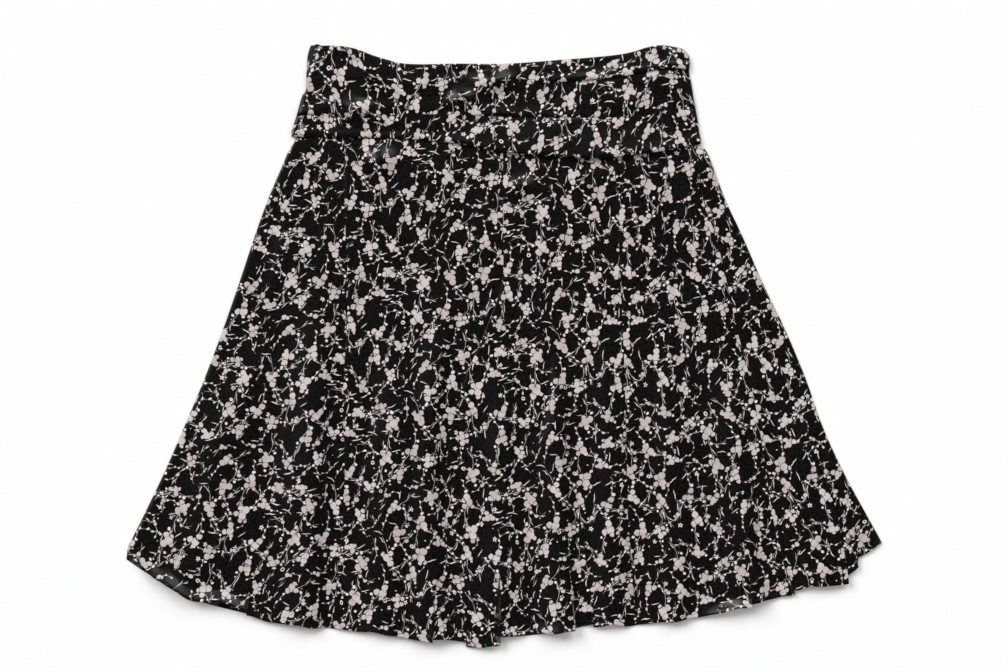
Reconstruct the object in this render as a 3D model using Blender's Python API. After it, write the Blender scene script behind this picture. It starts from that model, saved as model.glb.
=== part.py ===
"""A gored A-line skirt, laid flat and face up on a surface at z = 0.

X runs across the skirt, Y towards its waist and Z up off the surface. The eight gores, the two
halves of the tucked waistband and the side zip are one closed solid each, walls of cloth that
lie on each other a hair apart. Sizes are millimetres, taken across from the skirt's middle line
and down from the lowest point of its waist edge; they become metres where vertices are made.
"""
from collections import namedtuple
from math import exp

import bmesh
import bpy

MM = 0.001

# Driving sizes of the cloth and of the way its layers lie.
WALL = 1.2              # cloth with its turnings, as a wall
GAP = 0.3               # air between layers that touch
SEAM_HALF_GAP = 0.18    # each gore stops this far short of its seam line
SHARP_ANGLE = 0.6       # radians: edges sharper than this are not shaded smooth
BAND_BACK_WALL = 1.5    # back waistband, cloth and stay
BAND_WALL = 1.7         # front waistband between its tucks
TUCK_HEIGHT = 2.4       # how far a tuck's fold stands up from the band
TUCK_STEP = 0.9         # width of the drop below a tuck's fold
LAP = 9.0               # the band's lowest tuck covers the gores' tops by this much
LAP_FULL = 11.0         # its underside is at their height this far up from its edge,
LAP_RAMP = 11.0         # after rising to it over this length
LAP_CLEARANCE = 0.5
BACK_WAIST_DROP = 2.0   # the back's waist edge hides just below the front's
BACK_SEAM_GAP = 0.7     # between the back band's lower edge and the back gores' tops
RIDGE_LIMIT = 3.5       # highest a fold lifts the front off the back
RIDGE_FILL = 0.35       # a lifted fold is also this much thicker, times its lift
EDGE_FADE = 18.0        # folds die out this far in from the side edges
FOLDS_START = 90.0      # they begin below the band, this far down,
FOLDS_FULL = 160.0      # and are free of it from here on
RIDGE_RISE = 0.45       # each ridge reaches its full height after this share of its length
SEARCH_TOP = (30.0, 120.0)   # how far down any gore's top can lie
SEARCH_WAIST = (-30.0, 30.0)
SEARCH_HEM = (380.0, 600.0)

ZIP_TOP = -19.0
ZIP_BOTTOM = 190.0
ZIP_INSET = 1.0
ZIP_WIDTH = 6.0
ZIP_WALL = 1.0
ZIP_ON_BAND = 69.0      # above here the zip lies on the back band,
ZIP_ON_GORE = 85.0      # and below here on the back's left gore
ZIP_LIFT = 1.5          # how far the front is lifted to clear the zip
ZIP_LIFT_FULL = 13.0    # the front is lifted off the zip as far in as this
ZIP_LIFT_END = 27.0
ZIP_LIFT_ALONG = 22.0   # and this far past the zip's lower end
ZIP_LIFT_FADE = 55.0

# The skirt's body at set distances down: side edges and front seams, as places across.
# The front's right edge lies inside the back's near the hem, where the side is turned over.
Station = namedtuple("Station", "down left_edge seam_1 seam_2 seam_3 seam_4 front_edge back_edge")
STATIONS = (
    Station(55, -200.0, -153, 0, 105, 179, 187.0, 187.0),
    Station(95, -211.4, -153, -1, 106, 186, 199.5, 199.5),
    Station(130, -226.3, -153, -1, 108, 191, 212.0, 212.0),
    Station(165, -239.0, -152, -1, 110, 203, 228.4, 228.4),
    Station(210, -254.0, -150, -2, 112, 214, 248.0, 248.0),
    Station(256, -270.0, -151, -18, 114, 224, 270.0, 270.0),
    Station(302, -287.3, -154, -37, 116, 236, 289.3, 289.3),
    Station(348, -306.6, -154, -50, 117, 245, 303.5, 305.6),
    Station(394, -326.7, -153, -56, 118, 252, 315.0, 326.7),
    Station(440, -348.8, -155, -56, 119, 259, 322.5, 351.7),
    Station(460, -358.5, -157, -55, 121, 263, 325.5, 362.5),
    Station(476, -362.5, -158, -54, 122, 267, 327.5, 368.0),
    Station(560, -380.0, -169, -43, 129, 288, 336.0, 392.0),
)

# Seams of the back, straight from the waist to the hem.
BackSeam = namedtuple("BackSeam", "waist_across hem_across")
BACK_SEAMS = (BackSeam(-66, -124), BackSeam(58, 122))
BACK_SEAM_WAIST_DOWN = 70.0
BACK_SEAM_HEM_DOWN = 540.0

# The hem: how far down the front and the back reach at places across.
HemPoint = namedtuple("HemPoint", "across front back")
HEM = (
    HemPoint(-380, 430, 462),
    HemPoint(-362, 456, 476),
    HemPoint(-340, 488, 491),
    HemPoint(-307, 507, 511),
    HemPoint(-246, 527, 528),
    HemPoint(-222, 535, 531),
    HemPoint(-186, 540, 534),
    HemPoint(-131, 545, 540),
    HemPoint(-68, 553, 547),
    HemPoint(-18, 556, 549),
    HemPoint(39, 548, 542),
    HemPoint(92, 541, 535),
    HemPoint(131, 538, 531),
    HemPoint(181, 532, 525),
    HemPoint(228, 521, 513),
    HemPoint(265, 511, 502),
    HemPoint(308, 499, 489),
    HemPoint(330, 491, 481),
    HemPoint(340, 488, 474),
    HemPoint(362, 480, 462),
    HemPoint(392, 470, 446),
)

# The waistband's top and bottom edges, and the folds of its two upper tucks as shares of its depth.
BandLine = namedtuple("BandLine", "across top tuck_1 tuck_2 bottom")
BAND_LINES = (
    BandLine(-190, -17.0, 0.53, 0.77, 70.0),
    BandLine(-172, -17.3, 0.50, 0.75, 70.5),
    BandLine(-152, -14.4, 0.46, 0.72, 71.0),
    BandLine(-129, -6.7, 0.42, 0.70, 71.2),
    BandLine(-100, 0.0, 0.38, 0.68, 72.0),
    BandLine(-47, 0.0, 0.30, 0.64, 76.0),
    BandLine(0, 0.0, 0.25, 0.60, 84.5),
    BandLine(54, -3.8, 0.23, 0.59, 89.5),
    BandLine(83, -6.0, 0.22, 0.60, 90.8),
    BandLine(116, -9.6, 0.22, 0.61, 88.0),
    BandLine(150, -17.0, 0.22, 0.62, 83.0),
    BandLine(164, -17.3, 0.22, 0.63, 80.5),
    BandLine(178, -14.0, 0.22, 0.64, 77.0),
)
BandEdge = namedtuple("BandEdge", "down left right")
BAND_EDGES = (
    BandEdge(-18, -185.5, 169.0),
    BandEdge(-8, -188.4, 177.0),
    BandEdge(6, -189.3, 178.5),
    BandEdge(26, -190.2, 182.2),
    BandEdge(31, -193.6, 182.8),
    BandEdge(50, -199.0, 186.4),
    BandEdge(66, -203.7, 189.2),
    BandEdge(78, -203.0, 188.6),
    BandEdge(95, -203.0, 188.0),
)
BAND_MIDDLE_WIDTH = (-190.0, 178.0)

# Across one tuck, from where it comes out to its fold: share of its depth, share of its height.
TuckRow = namedtuple("TuckRow", "depth height")
TUCK_ROWS = (
    TuckRow(0.00, 0.00),
    TuckRow(0.20, 0.35),
    TuckRow(0.45, 0.68),
    TuckRow(0.65, 0.88),
    TuckRow(0.85, 1.00),
    TuckRow(1.00, 0.72),
)

# The largest folds, ridges that rise out of the body and run down to the hem.
Ridge = namedtuple("Ridge", "top_across top_down hem_across hem_down half_width height")
RIDGES = (
    Ridge(-225, 230, -292, 505, 30, 2.6),
    Ridge(-176, 150, -222, 530, 22, 3.0),
    Ridge(-112, 210, -118, 545, 21, 3.2),
    Ridge(-62, 140, -84, 300, 20, 2.0),
    Ridge(-12, 250, -4, 556, 19, 3.3),
    Ridge(44, 300, 50, 547, 18, 2.4),
    Ridge(84, 170, 92, 541, 17, 2.6),
    Ridge(148, 210, 186, 531, 24, 3.2),
    Ridge(212, 280, 236, 519, 18, 2.2),
    Ridge(254, 300, 300, 501, 17, 2.6),
)

GORE_ROWS = 24
FrontGore = namedtuple("FrontGore", "name left right columns")
FRONT_GORES = (
    FrontGore("front_gore_left", "left_edge", "seam_1", 11),
    FrontGore("front_gore_inner_left", "seam_1", "seam_2", 9),
    FrontGore("front_gore_centre", "seam_2", "seam_3", 10),
    FrontGore("front_gore_inner_right", "seam_3", "seam_4", 9),
    FrontGore("front_gore_right", "seam_4", "front_edge", 5),
)
BACK_GORE_COLUMNS = 5
BACK_GORE_ROWS = 12
BAND_COLUMNS = 30
BAND_BACK_COLUMNS = 20
BAND_BACK_ROWS = 5
ZIP_ROWS = 12


def blend(start, end, share):
    """The value that lies this share of the way from start to end."""
    return start + (end - start) * share


def smooth_step(low, high, value):
    """0 below low and 1 above high, with a soft rise between."""
    share = min(max((value - low) / (high - low), 0.0), 1.0)
    return share * share * (3 - 2 * share)


def read(table, key, column, value):
    """A column of a table at a value of its key, on a smooth curve through the rows."""
    last = len(table) - 2
    row = 0
    while row < last and getattr(table[row + 1], key) < value:
        row += 1
    rows = [table[min(max(row + step, 0), len(table) - 1)] for step in (-1, 0, 1, 2)]
    keys = [getattr(entry, key) for entry in rows]
    values = [getattr(entry, column) for entry in rows]
    length = keys[2] - keys[1]
    slope_in = (values[2] - values[0]) / (keys[2] - keys[0])
    slope_out = (values[3] - values[1]) / (keys[3] - keys[1])
    share = (value - keys[1]) / length
    if share < 0:
        return values[1] + slope_in * (value - keys[1])
    if share > 1:
        return values[2] + slope_out * (value - keys[2])
    square, cube = share ** 2, share ** 3
    return (values[1] * (2 * cube - 3 * square + 1) + values[2] * (3 * square - 2 * cube)
            + length * (slope_in * (cube - 2 * square + share) + slope_out * (cube - square)))


def body_line(column, down):
    """How far across a side edge or a front seam is at a distance down."""
    return read(STATIONS, "down", column, down)


def hem_down(side, across):
    """How far down the hem of the front or the back is at a place across."""
    return read(HEM, "across", side, across)


def band_line(column, across):
    """A line of the waistband at a place across."""
    return read(BAND_LINES, "across", column, across)


def where_line_meets(line, edge, search):
    """How far down a line that runs down the body meets an edge that runs across it."""
    above, below = search
    for _ in range(24):
        middle = (above + below) / 2
        if middle < edge(line(middle)):
            above = middle
        else:
            below = middle
    return above


def gore_top(across):
    """How far down the gores start, under the band's lowest tuck."""
    return band_line("bottom", across) - LAP


def zip_lift(across, down):
    """How far the front is lifted to lie on the closed zip along the left edge."""
    inwards = across - body_line("left_edge", max(down, 0.0))
    beside = 1 - smooth_step(ZIP_LIFT_FULL, ZIP_LIFT_END, inwards)
    along = 1 - smooth_step(ZIP_BOTTOM + ZIP_LIFT_ALONG, ZIP_BOTTOM + ZIP_LIFT_FADE, down)
    return ZIP_LIFT * beside * along


def fold_lift(across, down):
    """How far the folds lift the front off the back."""
    lift = 0.0
    for ridge in RIDGES:
        along = (down - ridge.top_down) / (ridge.hem_down - ridge.top_down)
        middle = blend(ridge.top_across, ridge.hem_across, along)
        shape = exp(-((across - middle) / ridge.half_width) ** 2)
        lift += ridge.height * shape * smooth_step(0.0, RIDGE_RISE, along)
    lift *= smooth_step(0, EDGE_FADE, across - body_line("left_edge", down))
    lift *= smooth_step(0, EDGE_FADE, body_line("front_edge", down) - across)
    lift *= smooth_step(FOLDS_START, FOLDS_FULL, down)
    return min(lift, RIDGE_LIMIT)


def front_underside(across, down):
    """Height of the front's underside over the surface."""
    lift = max(fold_lift(across, down), zip_lift(across, down))
    return WALL + GAP + lift


def front_top(across, down):
    """Height of the front's upper face over the surface."""
    return front_underside(across, down) + WALL + RIDGE_FILL * fold_lift(across, down)


def cloth_material(name, colour, roughness):
    """A plain material in the cloth's colour."""
    material = bpy.data.materials.new(name)
    material.use_nodes = True
    shader = material.node_tree.nodes["Principled BSDF"]
    shader.inputs["Base Color"].default_value = (*colour, 1.0)
    shader.inputs["Roughness"].default_value = roughness
    shader.inputs["Metallic"].default_value = 0.0
    return material


def closed_wall(name, material, columns, rows, point):
    """One closed wall of cloth; point(i, j) gives across, down, underside and top."""
    mesh = bmesh.new()
    under, over = [], []
    for i in range(columns + 1):
        under.append([])
        over.append([])
        for j in range(rows + 1):
            across, down, low, high = point(i, j)
            under[i].append(mesh.verts.new((across * MM, -down * MM, low * MM)))
            over[i].append(mesh.verts.new((across * MM, -down * MM, high * MM)))
    for i in range(columns):
        for j in range(rows):
            mesh.faces.new((over[i][j], over[i][j + 1], over[i + 1][j + 1], over[i + 1][j]))
            mesh.faces.new((under[i][j], under[i + 1][j], under[i + 1][j + 1], under[i][j + 1]))
    for i in range(columns):
        mesh.faces.new((over[i][0], over[i + 1][0], under[i + 1][0], under[i][0]))
        mesh.faces.new((over[i + 1][rows], over[i][rows], under[i][rows], under[i + 1][rows]))
    for j in range(rows):
        mesh.faces.new((over[0][j + 1], over[0][j], under[0][j], under[0][j + 1]))
        mesh.faces.new((over[columns][j], over[columns][j + 1], under[columns][j + 1], under[columns][j]))
    data = bpy.data.meshes.new(name)
    mesh.to_mesh(data)
    mesh.free()
    data.materials.append(material)
    data.shade_smooth()
    data.set_sharp_from_angle(angle=SHARP_ANGLE)
    thing = bpy.data.objects.new(name, data)
    bpy.context.scene.collection.objects.link(thing)
    return thing


def gore_point(left_line, right_line, side, columns, rows):
    """Places of a gore's grid, between two lines that run down the body from band to hem."""
    def place(i, j):
        def line(down):
            inner_left = left_line(down) + SEAM_HALF_GAP
            inner_right = right_line(down) - SEAM_HALF_GAP
            return blend(inner_left, inner_right, i / columns)
        start = where_line_meets(line, gore_top, SEARCH_TOP)
        end = where_line_meets(line, lambda across: hem_down(side, across), SEARCH_HEM)
        down = blend(start, end, j / rows)
        return line(down), down
    return place


def make_front_gore(gore, material):
    """One gore of the front, lifted into folds."""
    place = gore_point(lambda down: body_line(gore.left, down), lambda down: body_line(gore.right, down),
                       "front", gore.columns, GORE_ROWS)

    def point(i, j):
        across, down = place(i, j)
        return across, down, front_underside(across, down), front_top(across, down)
    return closed_wall(gore.name, material, gore.columns, GORE_ROWS, point)


def back_seam_line(seam):
    """A straight seam of the back as a line that runs down the body."""
    length = BACK_SEAM_HEM_DOWN - BACK_SEAM_WAIST_DOWN
    return lambda down: blend(seam.waist_across, seam.hem_across, (down - BACK_SEAM_WAIST_DOWN) / length)


def make_back_gore(name, left_line, right_line, material):
    """One gore of the back, flat on the surface."""
    place = gore_point(left_line, right_line, "back", BACK_GORE_COLUMNS, BACK_GORE_ROWS)

    def point(i, j):
        across, down = place(i, j)
        return across, down, 0.0, WALL
    return closed_wall(name, material, BACK_GORE_COLUMNS, BACK_GORE_ROWS, point)


def band_rows():
    """The front band's rows: which tuck, share of its depth, share of its height, step below it."""
    rows = []
    for tuck in range(3):
        for row in TUCK_ROWS:
            step = TUCK_STEP if tuck > 0 and row.depth == 0 else 0.0
            rows.append((tuck, row.depth, row.height, step))
    return rows


def band_across(across_share, down):
    """How far across a share of the band's width is at a distance down."""
    left = read(BAND_EDGES, "down", "left", down)
    right = read(BAND_EDGES, "down", "right", down)
    return blend(left, right, across_share)


def make_front_band(material):
    """The front waistband: three soft tucks lying down over each other and over the gores."""
    rows = band_rows()

    def point(i, j):
        tuck, depth, height, step = rows[j]
        across_share = i / BAND_COLUMNS
        middle = blend(*BAND_MIDDLE_WIDTH, across_share)
        folds = (0.0, band_line("tuck_1", middle), band_line("tuck_2", middle), 1.0)
        depth_share = blend(folds[tuck], folds[tuck + 1], depth)
        top, bottom = band_line("top", middle), band_line("bottom", middle)
        down = blend(top, bottom, depth_share) + step
        across = band_across(across_share, down)
        above_edge = bottom - down
        on_back = BAND_BACK_WALL + GAP + zip_lift(across, down)
        on_gores = front_top(across, down) + LAP_CLEARANCE
        rise = 1 - smooth_step(LAP_FULL, LAP_FULL + LAP_RAMP, above_edge)
        low = blend(on_back, on_gores, rise)
        return across, down, low, low + BAND_WALL + TUCK_HEIGHT * height
    return closed_wall("waistband_front", material, BAND_COLUMNS, len(rows) - 1, point)


def make_back_band(material):
    """The back waistband, flat on the surface, down to the tops of the back's gores."""
    def point(i, j):
        def line(down):
            return band_across(i / BAND_BACK_COLUMNS, down)
        start = where_line_meets(line, lambda across: band_line("top", across), SEARCH_WAIST)
        start += BACK_WAIST_DROP
        end = where_line_meets(line, gore_top, SEARCH_TOP) - BACK_SEAM_GAP
        down = blend(start, end, j / BAND_BACK_ROWS)
        return line(down), down, 0.0, BAND_BACK_WALL
    return closed_wall("waistband_back", material, BAND_BACK_COLUMNS, BAND_BACK_ROWS, point)


def make_side_zip(material):
    """The closed zip in the left side, between the front's edge and the back's."""
    def point(i, j):
        down = blend(ZIP_TOP, ZIP_BOTTOM, j / ZIP_ROWS)
        onto_gore = smooth_step(ZIP_ON_BAND, ZIP_ON_GORE, down)
        band_edge = read(BAND_EDGES, "down", "left", min(down, ZIP_ON_BAND))
        edge = blend(band_edge, body_line("left_edge", down), onto_gore)
        across = edge + ZIP_INSET + ZIP_WIDTH * i
        low = blend(BAND_BACK_WALL, WALL, onto_gore) + GAP
        return across, down, low, low + ZIP_WALL
    return closed_wall("side_zip", material, 1, ZIP_ROWS, point)


def centre_on_box(things):
    """Move all the pieces together so that their box stands centred on the origin."""
    corners = [vertex.co for thing in things for vertex in thing.data.vertices]
    for axis in (0, 1):
        low = min(corner[axis] for corner in corners)
        high = max(corner[axis] for corner in corners)
        for thing in things:
            thing.location[axis] = -(low + high) / 2


def main():
    for thing in list(bpy.data.objects):
        bpy.data.objects.remove(thing, do_unlink=True)
    cloth = cloth_material("printed_cloth", (0.075, 0.068, 0.066), 0.55)
    band_cloth = cloth_material("printed_band_cloth", (0.085, 0.077, 0.075), 0.55)
    zip_tape = cloth_material("zip_tape", (0.02, 0.02, 0.022), 0.5)

    things = [make_front_gore(gore, cloth) for gore in FRONT_GORES]
    back_lines = [lambda down: body_line("left_edge", down)]
    back_lines += [back_seam_line(seam) for seam in BACK_SEAMS]
    back_lines += [lambda down: body_line("back_edge", down)]
    for index, place in enumerate(("left", "centre", "right")):
        things.append(make_back_gore("back_gore_" + place, back_lines[index], back_lines[index + 1], cloth))
    things.append(make_front_band(band_cloth))
    things.append(make_back_band(band_cloth))
    things.append(make_side_zip(zip_tape))
    centre_on_box(things)


main()
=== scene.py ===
import math
from collections import namedtuple
from functools import reduce

import bpy
import numpy as np
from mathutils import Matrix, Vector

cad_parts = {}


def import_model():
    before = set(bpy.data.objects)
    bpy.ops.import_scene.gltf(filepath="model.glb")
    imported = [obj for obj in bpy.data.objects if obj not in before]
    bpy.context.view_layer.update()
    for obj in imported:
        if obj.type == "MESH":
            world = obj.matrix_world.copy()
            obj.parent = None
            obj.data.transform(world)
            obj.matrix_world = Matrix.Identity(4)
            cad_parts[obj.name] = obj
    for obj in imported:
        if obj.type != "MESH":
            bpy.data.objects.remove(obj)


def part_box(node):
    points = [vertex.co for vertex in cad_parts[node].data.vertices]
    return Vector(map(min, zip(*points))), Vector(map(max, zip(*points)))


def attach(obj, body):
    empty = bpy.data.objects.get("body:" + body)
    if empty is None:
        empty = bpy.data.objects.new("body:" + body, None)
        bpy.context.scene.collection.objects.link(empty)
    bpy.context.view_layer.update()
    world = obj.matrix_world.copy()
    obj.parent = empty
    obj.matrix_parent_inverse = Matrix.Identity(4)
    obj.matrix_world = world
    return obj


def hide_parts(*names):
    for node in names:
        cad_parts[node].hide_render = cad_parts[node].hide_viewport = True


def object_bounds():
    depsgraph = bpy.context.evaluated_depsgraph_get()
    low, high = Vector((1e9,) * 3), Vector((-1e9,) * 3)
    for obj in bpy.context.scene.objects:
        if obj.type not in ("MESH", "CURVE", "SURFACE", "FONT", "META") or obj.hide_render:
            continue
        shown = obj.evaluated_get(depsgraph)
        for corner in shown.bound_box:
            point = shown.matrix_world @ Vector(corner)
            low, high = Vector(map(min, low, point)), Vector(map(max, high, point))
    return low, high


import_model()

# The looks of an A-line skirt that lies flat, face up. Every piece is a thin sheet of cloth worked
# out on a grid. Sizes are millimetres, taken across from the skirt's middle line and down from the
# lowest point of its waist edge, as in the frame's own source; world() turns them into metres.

CAD_BOX = [list(corner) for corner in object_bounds()]
MM = 0.001


def table(columns, *rows):
    """Rows whose values are named by their columns."""
    row_of = namedtuple("Row", columns)
    return [row_of(*row) for row in rows]


# ---------- the skirt's lines

ZIP_TOP = -19
MIDDLE_X = (CAD_BOX[0][0] + CAD_BOX[1][0]) / 2
WAIST_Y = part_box("side_zip")[1].y + ZIP_TOP * MM

# Side edges and front seams, as places across at set distances down.
STATIONS = table(
    "down left_edge seam_1 seam_2 seam_3 seam_4 right_edge",
    (55, -196.5, -153, 0, 105, 179, 181),
    (73, -200, -153, -0.5, 105.5, 181, 185),
    (84, -206.8, -153, -0.8, 106, 184, 194),
    (95, -211.4, -153, -1, 106, 186, 198.8),
    (130, -226.3, -153, -1, 108, 191, 212),
    (165, -239, -152, -1, 110, 203, 228.4),
    (210, -254, -150, -2, 112, 214, 248),
    (256, -270, -151, -18, 114, 224, 270),
    (302, -287.3, -154, -37, 116, 236, 289.3),
    (348, -306.6, -154, -50, 117, 245, 305.6),
    (394, -326.7, -153, -56, 118, 252, 326.7),
    (440, -348.8, -155, -56, 119, 259, 351.7),
    (460, -358.5, -157, -55, 121, 263, 362.5),
    (476, -362.5, -158, -54, 122, 267, 368),
    (560, -380, -169, -43, 129, 288, 392),
)
CORNER = 462  # how far down the left hem corner is
CORNER_STEP = 1.1  # the side steps out this far there,
STEP_OUT = 1.7  # over this length above it,
STEP_BACK = 14  # and back in over this length below it

# Seams of the back, straight from the waist to the hem.
Seam = namedtuple("Seam", "waist_across waist_down hem_across hem_down")
BACK_SEAMS = {
    "back_seam_1": Seam(-66, 70, -124, 540),
    "back_seam_2": Seam(58, 70, 122, 540),
}

# The hem: how far down the front and the back reach at places across.
HEM = table(
    "across front back",
    (-380, 446, 462),
    (-362, 470, 476),
    (-340, 490, 491),
    (-307, 511, 511),
    (-246, 528, 528),
    (-222, 535, 531),
    (-186, 540, 534),
    (-131, 545, 540),
    (-68, 553, 547),
    (-18, 556, 551),
    (39, 547, 547),
    (92, 541, 537),
    (131, 538, 531),
    (181, 532, 525),
    (228, 521, 513),
    (265, 511, 502),
    (308, 498, 487),
    (330, 489, 470),
    (340, 475, 462),
    (352, 466.5, 456),
    (362, 460, 452),
    (392, 446, 440),
)

# Small waves of the front's hem.
HEM_WAVES = table(
    "height length phase",
    (0.45, 6.1, 0),
    (0.35, 3.7, 1),
)

# Places where the front's hem rides up and bares the inside of the back.
RIDDEN_UP = table(
    "across half_width rise",
    (-346, 8, 3.4),
    (-322, 12, 4.2),
    (-269, 24, 5),
    (27, 30, 1.6),
    (101, 13, 2.2),
)

# The waistband's top and bottom edges, and the folds of its two upper tucks as shares of its depth.
BAND_LINES = table(
    "across top tuck_1 tuck_2 bottom",
    (-190, -17, 0.53, 0.77, 70),
    (-172, -17.3, 0.5, 0.75, 70.5),
    (-152, -14.4, 0.46, 0.72, 71),
    (-129, -6.7, 0.42, 0.7, 71.2),
    (-100, 0, 0.38, 0.68, 72),
    (-47, 0, 0.3, 0.64, 76),
    (0, 0, 0.25, 0.6, 84.5),
    (54, -3.8, 0.23, 0.59, 89.5),
    (83, -6, 0.22, 0.6, 90.8),
    (116, -9.6, 0.22, 0.61, 88),
    (150, -17, 0.22, 0.62, 83),
    (164, -17.3, 0.22, 0.63, 80.5),
    (178, -14, 0.22, 0.64, 77),
)

# The waistband's ends at distances down, and where its middle line is taken to end.
BAND_EDGES = table(
    "down left right",
    (-18, -185.5, 169),
    (-8, -188.4, 177),
    (6, -189.3, 178.5),
    (26, -190.2, 182.2),
    (31, -193.6, 182.8),
    (50, -199, 186.4),
    (66, -203.9, 188.6),
    (76, -203, 190.2),
    (95, -201, 188),
)
BAND_MIDDLE_ENDS = (-190, 178)

# How full each tuck is along the band: 1 is a crisp fold, and near 0 it fades into the cloth.
# lifted is how much higher than usual the lowest fold stands.
FULLNESS = table(
    "across tuck_1 tuck_2 bottom lifted",
    (-200, 0.3, 0.5, 0.6, -0.7),
    (-165, 0, 0.3, 0.8, -0.2),
    (-145, 0, 0, 0.9, 0.3),
    (-120, 0, 0, 0.55, -1.3),
    (-60, 0, 0, 0.6, -1.2),
    (-35, 0, 0.25, 0.9, 0.6),
    (0, 0, 0.6, 1, 2.6),
    (40, 0.45, 0.6, 1, 3.2),
    (65, 0.85, 0.3, 1, 3.2),
    (110, 1, 0.2, 1, 2.9),
    (150, 1, 0, 0.9, 1.3),
    (170, 0.7, 0.25, 0.8, 0.3),
    (190, 0.5, 0.45, 0.7, -0.4),
)

# The gores' tops, and their hem, lie somewhere between these distances down.
TOP_BETWEEN = (30, 120)
HEM_BETWEEN = (380, 600)

# ---------- how the cloth lies

CLOTH = 0.6  # thickness of a layer
BACK_HEIGHT = 0.36  # middle of the back's layer over the surface
BACK_FOLDS = 0.12  # the front's folds show on the back this much
BACK_SEAM_RISE = 0.3  # the back is this much higher beside its seams and edges
BACK_INSET = 1.2  # the back's side edges hide this far inside the side folds,
INSET_ENDS = 22  # but the left one comes out over this length above the corner
FRONT_HEIGHT = 1.9  # middle of the front's layer where it lies on the back
DEEPEST_CREASE = 0.35  # creases go down no further than this below it
SIDE_ROLL = 5  # the front turns down to the side folds over this width
SIDE_HEIGHT = 0.75  # and is this high there
SEAM_GROOVE = 0.45
SEAM_GROOVE_WIDTH = 1.2
HEM_FULLNESS = 1  # the flare lets the front stand higher towards the hem
FULLNESS_STARTS = 300
FULLNESS_ENDS = 540
LAP = 14  # the gores' tops reach this far up under the band's lowest tuck
LAP_HEIGHT = 1.6  # middle height of the gores under the band
LAP_RISE = 12  # they rise to their own height over this length below it
HEM_TURNED = 3.2  # width of the narrow turned hem
HEM_THICKER = 0.3
HEM_STEP = 0.6  # the cloth thickens over this length

# Long soft folds: ridges, and creases where the height is below 0. Each bends through three places
# and is steeper on one side. fade_in and fade_out are the shares of its length over which it rises
# out of the flat cloth and sinks into it again.
FOLDS = table(
    "top_across top_down middle_across low_across low_down left right height fade_in fade_out",
    (-228, 230, -262, -300, 505, 26, 17, 4.4, 0.45, 0),
    (-176, 150, -180, -190, 535, 26, 12, 7.8, 0.5, 0),
    (-112, 210, -108, -118, 545, 17, 15, 5.2, 0.45, 0),
    (-32, 150, -70, -60, 552, 22, 11, 7.4, 0.5, 0),
    (4, 240, -2, 4, 556, 14, 13, 5.4, 0.45, 0),
    (44, 230, 52, 54, 547, 18, 11, 7, 0.4, 0),
    (88, 170, 104, 104, 541, 14, 12, 5.2, 0.45, 0),
    (148, 190, 162, 166, 531, 14, 13, 5.6, 0.45, 0),
    (206, 260, 226, 242, 519, 20, 9, 8.2, 0.45, 0),
    (262, 300, 286, 304, 501, 15, 14, 4.8, 0.45, 0),
    (-9, 205, -50, -38, 350, 6, 6, -1.8, 0.3, 0.3),
    (-46, 320, -48, -38, 552, 9, 8, -3.4, 0.3, 0),
    (-149, 235, -131, -168, 440, 7, 7, -1.8, 0.3, 0.3),
    (-160, 320, -156, -168, 545, 10, 9, -3.4, 0.3, 0),
    (38, 250, 42, 26, 380, 5, 5, -1.6, 0.3, 0.3),
    (26, 420, 24, 28, 552, 6, 5, -2, 0.3, 0),
    (72, 280, 76, 78, 545, 10, 8, -3.4, 0.4, 0),
    (119, 290, 135, 126, 536, 6, 6, -2.6, 0.3, 0),
    (252, 340, 259, 268, 508, 8, 7, -3.6, 0.3, 0),
    (139, 86, 141, 140, 150, 5, 4, -2, 0.3, 0.5),
    (-96, 90, -104, -98, 170, 8, 6, 1.4, 0.4, 0.5),
    (-20, 92, -14, -26, 190, 8, 7, 1.5, 0.4, 0.5),
    (62, 95, 70, 60, 180, 8, 6, 1.4, 0.4, 0.5),
    (168, 100, 180, 186, 230, 8, 6, 1.6, 0.4, 0.5),
    (-205, 110, -214, -236, 260, 8, 6, 1.5, 0.4, 0.5),
    (-252, 330, -266, -290, 480, 8, 8, -1.8, 0.3, 0.3),
    (-214, 300, -222, -226, 470, 6, 6, -1.6, 0.3, 0.5),
    (-90, 330, -88, -94, 500, 6, 6, -1.8, 0.3, 0.3),
    (190, 330, 196, 206, 520, 6, 6, -2.2, 0.3, 0.2),
    (300, 360, 322, 344, 470, 6, 6, 1.2, 0.3, 0.3),
)
RIDGES = [fold for fold in FOLDS if fold.height > 0]
CREASES = [fold for fold in FOLDS if fold.height < 0]
FOLDS_START = 84
FOLDS_FULL = 150

# Pleats at the hem, where the cloth folds over itself: the part on the left lies on top.
# The hem reaches further down, by the last two numbers, just left and just right of the fold.
PLEATS = table(
    "top_across top_down hem_across half_width fullness lift left_longer right_longer",
    (-62, 470, -71, 11, 2.6, 2.4, 2.6, -2),
    (-26, 480, -34, 10, 2.4, 2.2, -1.4, 2.6),
    (-2, 440, -7, 11, 3, 2.8, 2.2, -6),
    (62, 460, 66, 10, 2.6, 2.4, 0.6, -4.2),
    (84, 490, 87, 8, 2.2, 2, -1.4, 1),
    (232, 450, 236, 9, 2, 1.8, 0.6, -0.8),
    (270, 470, 277, 8, 2.2, 1.8, 1.4, -1.8),
    (-240, 475, -246, 7, 1.8, 1.4, -1.6, 1.6),
    (316, 400, 327, 8, 3, 2.6, 5, 2),
    (334, 430, 338, 6, 2.8, 1.8, 2, -1),
)
PLEAT_REACH = 24  # how far from a pleat the hem is longer

# Places where the hem's edge tilts up and catches the light.
CURLS = table(
    "across half_width length height",
    (-325, 20, 13, 5.6),
    (-272, 27, 13, 6.2),
    (-160, 22, 12, 1.6),
    (212, 18, 10, 4.6),
    (262, 20, 12, 1.4),
    (45, 22, 11, 1.4),
)

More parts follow.
